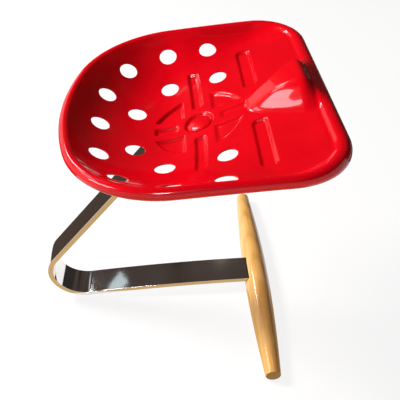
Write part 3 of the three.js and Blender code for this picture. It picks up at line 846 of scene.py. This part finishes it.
def strip_bar(strip, grow=0, round_by=0):
    """Bent strip from its end in the foot bar to under the seat, in the stool's frame."""
    bm = bmesh.new()
    edges = strip_section(bm, strip, grow, round_by)
    heading = -strip.tongue_tilt
    spot = Vector((0, 0, 0))
    bmesh.ops.rotate(bm, verts=bm.verts, cent=spot, matrix=Matrix.Rotation(heading, 3, "X"))
    bmesh.ops.translate(bm, verts=bm.verts, vec=direction(heading) * -grow)
    first = edges

    def run(edges, spot, reach):
        step = direction(heading) * reach
        verts, edges = extrude_ring(bm, edges)
        bmesh.ops.translate(bm, verts=verts, vec=step)
        return edges, spot + step

    def bend(edges, spot, radius, turn, steps):
        side = math.copysign(radius, turn)
        centre = spot + direction(heading + RIGHT_ANGLE) * side
        spun = bmesh.ops.spin(
            bm, geom=edges, cent=centre, axis=(1, 0, 0), angle=turn, steps=steps,
        )["geom_last"]
        after = heading + turn
        end = centre - direction(after + RIGHT_ANGLE) * side
        return of_kind(BMEdge, spun), end, after

    edges, spot = run(edges, spot, strip.tongue_run)
    bow_radius = strip.bow_run / strip.bow_turn
    edges, spot, heading = bend(edges, spot, bow_radius, -strip.bow_turn, BOW_STEPS)
    up_turn = math.pi - strip.lean - heading
    edges, spot, heading = bend(edges, spot, strip.bend_radius, up_turn, BEND_STEPS)
    edges, spot = run(edges, spot, strip.stem_run)
    top_turn = strip.lean - tab_tilt()
    edges, spot, heading = bend(edges, spot, strip.top_bend_radius, top_turn, TOP_BEND_STEPS)
    edges, spot = run(edges, spot, strip.tab_run)
    bmesh.ops.edgeloop_fill(bm, edges=first)
    bmesh.ops.edgeloop_fill(bm, edges=edges)
    bmesh.ops.recalc_face_normals(bm, faces=bm.faces)
    low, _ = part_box("stem")
    lowest = Vector((0, min(vert.co.y for vert in bm.verts), min(vert.co.z for vert in bm.verts)))
    bm.transform(Matrix.Translation(Vector((0, low.y - grow, low.z - grow)) - lowest))
    return bm


class STOOL_OT_strip(bpy.types.Operator):
    """Make the bent strip of chromed steel"""

    bl_idname = "stool.strip"
    bl_label = "Chromed Strip"

    def execute(self, context):
        settings = context.scene.stool
        bm = strip_bar(settings.strip, round_by=settings.strip.edge_round)
        hole = upright_rod(settings.bolt.radius + SHANK_GAP, -settings.strip.width, 0)
        hole.transform(bolt_frame())
        bm = boolean(bm, hole, "DIFFERENCE")
        piece = finish_piece(
            "stem_strip", bm, chrome_plate(), "stand", "stem", sharp=math.pi,
        )
        add_modifier(piece, "WEIGHTED_NORMAL", weight=100)
        return {"FINISHED"}


class STOOL_OT_foot_bar(bpy.types.Operator):
    """Make the turned foot bar"""

    bl_idname = "stool.foot_bar"
    bl_label = "Foot Bar"

    def execute(self, context):
        settings = context.scene.stool
        bar = settings.foot_bar
        low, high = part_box("foot_bar")
        half_length = (high.x - low.x) / 2
        axis = Vector(((low.x + high.x) / 2, (low.y + high.y) / 2, high.z - bar.radius))
        profile = []
        for step in range(TAPER_STEPS + 1):
            share = step / TAPER_STEPS
            radius = bar.radius - (bar.radius - bar.end_radius) * share**bar.taper_ease
            profile.append((radius, share * (half_length - bar.end_round)))
        for step in range(1, BAR_END_STEPS + 1):
            turn = RIGHT_ANGLE * step / BAR_END_STEPS
            radius = bar.end_radius - bar.end_round * (1 - math.cos(turn))
            profile.append((radius, half_length - bar.end_round * (1 - math.sin(turn))))
        profile.append((0, half_length))
        other = [(radius, -along) for radius, along in reversed(profile[1:])]
        bm = turned([*other, *profile], TURNED_SIDES)
        bm.transform(Matrix.Translation(axis) @ Matrix.Rotation(RIGHT_ANGLE, 4, "Y"))
        cut = bmesh.ops.bisect_plane(
            bm, geom=bm.verts[:] + bm.edges[:] + bm.faces[:], plane_co=(0, 0, low.z),
            plane_no=(0, 0, 1), clear_inner=True,
        )["geom_cut"]
        bmesh.ops.holes_fill(bm, edges=of_kind(BMEdge, cut))
        bmesh.ops.recalc_face_normals(bm, faces=bm.faces)
        bm = boolean(bm, strip_bar(settings.strip, grow=SEAT_GAP), "DIFFERENCE")
        finish_piece("foot_bar_turned", bm, beech_wood(), "stand", "foot_bar")
        return {"FINISHED"}


class STOOL_OT_bar_screws(bpy.types.Operator):
    """Give the screws under the foot bar their finish"""

    bl_idname = "stool.bar_screws"
    bl_label = "Foot Bar Screws"

    def execute(self, context):
        for node in ("bar_screw_left", "bar_screw_right"):
            materials = frame["nodes"][node].data.materials
            materials.clear()
            materials.append(zinc_plate())
        return {"FINISHED"}


def shader(name):
    """New material, its node tree and its main shader."""
    material = bpy.data.materials.new(name)
    material.use_nodes = True
    tree = material.node_tree
    return material, tree, tree.nodes["Principled BSDF"]


def fill(tree, node, values):
    """Gives each named input of a node its link or its constant."""
    for name, value in values.items():
        if isinstance(value, bpy.types.NodeSocket):
            tree.links.new(value, node.inputs[name])
        else:
            node.inputs[name].default_value = value


def add_node(tree, kind, output, values, **settings):
    """New node with its settings and inputs. Gives one of its outputs."""
    node = tree.nodes.new("ShaderNode" + kind)
    for key, value in settings.items():
        setattr(node, key, value)
    fill(tree, node, values)
    return node.outputs[output]


def noise(tree, scale, detail, stretch=(1, 1, 1)):
    """Noise in the stool's own frame, stretched along the axes."""
    place = add_node(tree, "TexCoord", "Object", {})
    place = add_node(tree, "Mapping", "Vector", {"Vector": place, "Scale": stretch})
    return add_node(tree, "TexNoise", "Fac", {"Vector": place, "Scale": scale, "Detail": detail})


def ramp(tree, value, stops):
    """Colour ramp on a value, from pairs of position and colour."""
    node = tree.nodes.new("ShaderNodeValToRGB")
    elements = node.color_ramp.elements
    while len(elements) < len(stops):
        elements.new(1)
    for element, (position, shade) in zip(elements, stops):
        element.position = position
        element.color = (*shade, 1)
    tree.links.new(value, node.inputs["Fac"])
    return node.outputs["Color"]


def spread(tree, value, low, high):
    """A 0 to 1 value mapped to a range."""
    return add_node(tree, "MapRange", "Result", {"Value": value, "To Min": low, "To Max": high})


def bump(tree, height, depth, strength):
    """Bump from a height, with its depth in metres."""
    return add_node(tree, "Bump", "Normal", {
        "Height": height, "Distance": depth, "Strength": strength,
    })


def shaded(colour_value, share):
    """Colour made darker or lighter by a share."""
    return tuple(min(1, channel * share) for channel in colour_value)


def tones(tree, value, base, dark, light):
    """Two tones of a colour, each given as a place on the value and a share of the colour."""
    return ramp(tree, value, [(place, shaded(base, share)) for place, share in (dark, light)])


def red_enamel():
    """Stoved red enamel: deep, glossy, with a faint waviness of the coat."""
    existing = bpy.data.materials.get("stoved_enamel")
    if existing:
        return existing
    material, tree, surface = shader("stoved_enamel")
    enamel = bpy.context.scene.stool.finish.enamel
    patches = noise(tree, scale=22, detail=4)
    haze = noise(tree, scale=60, detail=5)
    waves = bump(tree, noise(tree, scale=24, detail=2), depth=0.3 * MM, strength=0.12)
    fill(tree, surface, {
        "Base Color": tones(tree, patches, enamel, dark=(0.3, 0.93), light=(0.7, 1.05)),
        "Roughness": spread(tree, haze, low=0.2, high=0.28),
        "Normal": waves,
        "Specular IOR Level": 0.1,
        "Coat Weight": 0.6,
        "Coat Roughness": 0.03,
        "Coat Normal": waves,
    })
    return material


def chrome_plate():
    """Mirror chrome on rolled steel, with faint smears and waves."""
    material, tree, surface = shader("chrome_plate")
    chrome = bpy.context.scene.stool.finish.chrome
    smears = noise(tree, scale=14, detail=6, stretch=(1, 0.4, 0.4))
    waves = noise(tree, scale=35, detail=2)
    fill(tree, surface, {
        "Base Color": tones(tree, smears, chrome, dark=(0.3, 0.9), light=(0.65, 1.05)),
        "Roughness": spread(tree, smears, low=0.02, high=0.09),
        "Normal": bump(tree, waves, depth=0.3 * MM, strength=0.2),
        "Metallic": 1,
    })
    return material


def beech_wood():
    """Beech under clear lacquer, with arches where the turning cuts its rings, and fine pores."""
    material, tree, surface = shader("beech_wood")
    finish = bpy.context.scene.stool.finish
    place = add_node(tree, "TexCoord", "Object", {})
    lean = add_node(tree, "Mapping", "Vector", {
        "Vector": place, "Location": RING_MIDDLE, "Rotation": RING_LEAN,
    })
    rings = add_node(
        tree, "TexWave", "Fac",
        {"Vector": lean, "Scale": RING_SCALE, "Distortion": 2.5, "Detail": 3, "Detail Scale": 0.6},
        wave_type="RINGS", rings_direction="X",
    )
    early, late = shaded(finish.beech, 0.97), shaded(finish.beech, 1.04)
    ringed = ramp(tree, rings, ((0, finish.beech_grain), (0.35, early), (1, late)))
    pores = noise(tree, scale=60, detail=5, stretch=PORE_STRETCH)
    specks = ramp(tree, pores, ((0.3, (0.86, 0.8, 0.72)), (0.5, (1, 1, 1))))
    speckled = add_node(
        tree, "Mix", "Result", {"Factor": 1, "A": ringed, "B": specks},
        data_type="RGBA", blend_type="MULTIPLY",
    )
    across = add_node(tree, "SeparateXYZ", "X", {"Vector": place})
    outwards = add_node(tree, "Math", "Value", {0: across}, operation="ABSOLUTE")
    # Both ends of the bar are darkened: partly the end grain's own darker tone, partly painted
    # shade on the end faces
    half_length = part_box("foot_bar")[1].x
    end_grain_and_shade = add_node(tree, "MapRange", "Result", {
        "Value": outwards,
        "From Min": half_length - END_GRAIN_AND_SHADE_START,
        "From Max": half_length - END_GRAIN_AND_SHADE_FULL,
    })
    end_grain_and_shade_colour = (*shaded(finish.beech_grain, END_GRAIN_AND_SHADE_SHARE), 1)
    ended = {"Factor": end_grain_and_shade, "A": speckled, "B": end_grain_and_shade_colour}
    haze = noise(tree, scale=30, detail=3)
    fill(tree, surface, {
        "Base Color": add_node(tree, "Mix", "Result", ended, data_type="RGBA"),
        "Roughness": spread(tree, haze, low=0.3, high=0.42),
        "Normal": bump(tree, pores, depth=0.2 * MM, strength=0.2),
        "Coat Weight": 0.9,
        "Coat Roughness": 0.07,
    })
    return material


def zinc_plate():
    """Bright zinc plating with a cloudy surface."""
    existing = bpy.data.materials.get("zinc_plate")
    if existing:
        return existing
    material, tree, surface = shader("zinc_plate")
    zinc = bpy.context.scene.stool.finish.zinc
    clouds = noise(tree, scale=180, detail=4)
    fill(tree, surface, {
        "Base Color": tones(tree, clouds, zinc, dark=(0.3, 0.8), light=(0.7, 1.1)),
        "Roughness": spread(tree, clouds, low=0.25, high=0.42),
        "Metallic": 1,
    })
    return material


def studio_light(name, around, height, roll, size, brightness, tint):
    """Rectangular light that faces the middle of the stool."""
    target = Vector(LAMP_TARGET)
    up, out = math.sin(height * DEGREE), math.cos(height * DEGREE)
    away = Vector((math.cos(around * DEGREE) * out, math.sin(around * DEGREE) * out, up))
    light = bpy.data.lights.new(name, "AREA")
    light.shape = "RECTANGLE"
    light.size, light.size_y = size
    light.energy = brightness * math.pi * light.size * light.size_y
    light.color = tint
    lamp = bpy.data.objects.new(name, light)
    facing = (-away).to_track_quat("-Z", "Y") @ Quaternion((0, 0, 1), roll * DEGREE)
    lamp.location = target + away * LAMP_DISTANCE
    lamp.rotation_euler = facing.to_euler()
    bpy.context.scene.collection.objects.link(lamp)
    return lamp


def studio_world():
    """Dim and slightly uneven room, which lies above the backdrop."""
    world = bpy.data.worlds.new("studio")
    bpy.context.scene.world = world
    world.use_nodes = True
    tree = world.node_tree
    direction = add_node(tree, "TexCoord", "Generated", {})
    shapes = add_node(tree, "TexNoise", "Fac", {"Vector": direction, "Scale": ROOM_SHAPES})
    fill(tree, tree.nodes["Background"], {"Color": ramp(tree, shapes, ROOM)})


def pale_floor():
    """Floor that camera, metal and glass see as white with a faint shadow, and the rest as pale."""
    material, tree, surface = shader("pale_floor")
    fill(tree, surface, {"Base Color": (*FLOOR, 1), "Roughness": 0.9, "Specular IOR Level": 0})
    white = add_node(tree, "Emission", "Emission", {"Strength": FLOOR_WHITE})
    lit = add_node(tree, "BsdfDiffuse", "BSDF", {"Color": (1, 1, 1, 1)})
    plain = add_node(tree, "MixShader", "Shader", {"Fac": SHADOW_SHARE, 1: white, 2: lit})
    path = tree.nodes.new("ShaderNodeLightPath").outputs
    seen = surface.outputs["BSDF"]
    for ray in ("Is Camera Ray", "Is Glossy Ray", "Is Transmission Ray"):
        seen = add_node(tree, "MixShader", "Shader", {"Fac": path[ray], 1: seen, 2: plain})
    fill(tree, tree.nodes["Material Output"], {"Surface": seen})
    return material


def backdrop():
    """Round floor whose edge rises in a cove to an upright backdrop, all in one sweep."""
    profile = [(0, 0)]
    for step in range(COVE_STEPS + 1):
        turn = RIGHT_ANGLE * step / COVE_STEPS
        reach = BACKDROP_RADIUS - BACKDROP_COVE * (1 - math.sin(turn))
        profile.append((reach, BACKDROP_COVE * (1 - math.cos(turn))))
    profile.append((BACKDROP_RADIUS, BACKDROP_HEIGHT))
    return turned(profile, TURNED_SIDES)


def studio_card(index, middle, size, turn, rise, shade):
    """Card that shows only as gloss, for dark and warm parts in chrome on a white floor."""
    bm = bmesh.new()
    facing = Matrix.Rotation(turn * DEGREE, 4, "Z") @ Matrix.Rotation(rise * DEGREE, 4, "Y")
    place = Matrix.Translation(middle) @ facing @ Matrix.Diagonal((*size, 1, 1))
    bmesh.ops.create_grid(bm, x_segments=1, y_segments=1, size=0.5, matrix=place)
    material, tree, surface = shader("studio_card")
    fill(tree, surface, {
        "Base Color": (0, 0, 0, 1), "Specular IOR Level": 0,
        "Emission Color": (*shade, 1), "Emission Strength": 1,
    })
    card = add_object(f"studio_card_{index}", bm, material)
    card.visible_camera = False
    card.visible_diffuse = False
    card.visible_shadow = False


class STOOL_OT_studio(bpy.types.Operator):
    """Make the floor, lights and camera"""

    bl_idname = "stool.studio"
    bl_label = "Studio"

    def execute(self, context):
        studio = context.scene.stool.studio
        add_object("studio_floor", backdrop(), pale_floor())
        for index, values in enumerate(CARDS, start=1):
            studio_card(index, *values)
        for values in LAMPS:
            studio_light(*values).visible_glossy = False
        for values in PANELS:
            studio_light(*values).visible_diffuse = False
        studio_world()

        camera = bpy.data.objects.new("photo_camera", bpy.data.cameras.new("photo_camera"))
        camera.data.lens = camera.data.sensor_width * studio.focal_length / studio.picture_size
        camera.data.clip_start = CLIP_START
        turn = Matrix.Rotation(studio.camera_heading - RIGHT_ANGLE, 4, "Z")
        turn @= Matrix.Rotation(RIGHT_ANGLE - studio.camera_pitch, 4, "X")
        turn @= Matrix.Rotation(studio.camera_roll, 4, "Z")
        bar_low, bar_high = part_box("foot_bar")
        bar_axis = (bar_low.y + bar_high.y) / 2
        beside, behind, above = studio.camera_place
        camera.matrix_world = Matrix.Translation((-beside, bar_axis + behind, above)) @ turn
        context.scene.collection.objects.link(camera)
        context.scene.camera = camera
        context.scene.view_settings.view_transform = "Standard"
        return {"FINISHED"}


class STOOL_PT_panel(bpy.types.Panel):
    """Stool settings and the operators that make its pieces"""

    bl_label = "Tractor Seat Stool"
    bl_idname = "STOOL_PT_panel"
    bl_space_type = "VIEW_3D"
    bl_region_type = "UI"
    bl_category = "Stool"

    def draw(self, context):
        settings = context.scene.stool
        for operator in OPERATORS:
            self.layout.operator(operator.bl_idname)
        for name in ("seat_pan", "bolt", "strip", "foot_bar", "finish", "studio"):
            group = getattr(settings, name)
            box = self.layout.box()
            box.label(text=name.replace("_", " ").title())
            for key in group.__annotations__:
                box.prop(group, key)


SETTINGS = (
    SeatPanSettings, BoltSettings, StripSettings, FootBarSettings, FinishSettings, StudioSettings,
    StoolSettings,
)
OPERATORS = (
    STOOL_OT_seat_pan, STOOL_OT_seat_bolt, STOOL_OT_wing_nut, STOOL_OT_strip, STOOL_OT_foot_bar,
    STOOL_OT_bar_screws, STOOL_OT_studio,
)


def register():
    for item in (*SETTINGS, *OPERATORS, STOOL_PT_panel):
        bpy.utils.register_class(item)
    bpy.types.Scene.stool = PointerProperty(type=StoolSettings)


def unregister():
    del bpy.types.Scene.stool
    for item in reversed((*SETTINGS, *OPERATORS, STOOL_PT_panel)):
        bpy.utils.unregister_class(item)


def main():
    register()
    bpy.ops.stool.seat_pan()
    bpy.ops.stool.seat_bolt()
    bpy.ops.stool.wing_nut()
    bpy.ops.stool.strip()
    bpy.ops.stool.foot_bar()
    bpy.ops.stool.bar_screws()
    bpy.ops.stool.studio()


if __name__ == "__main__":
    main()
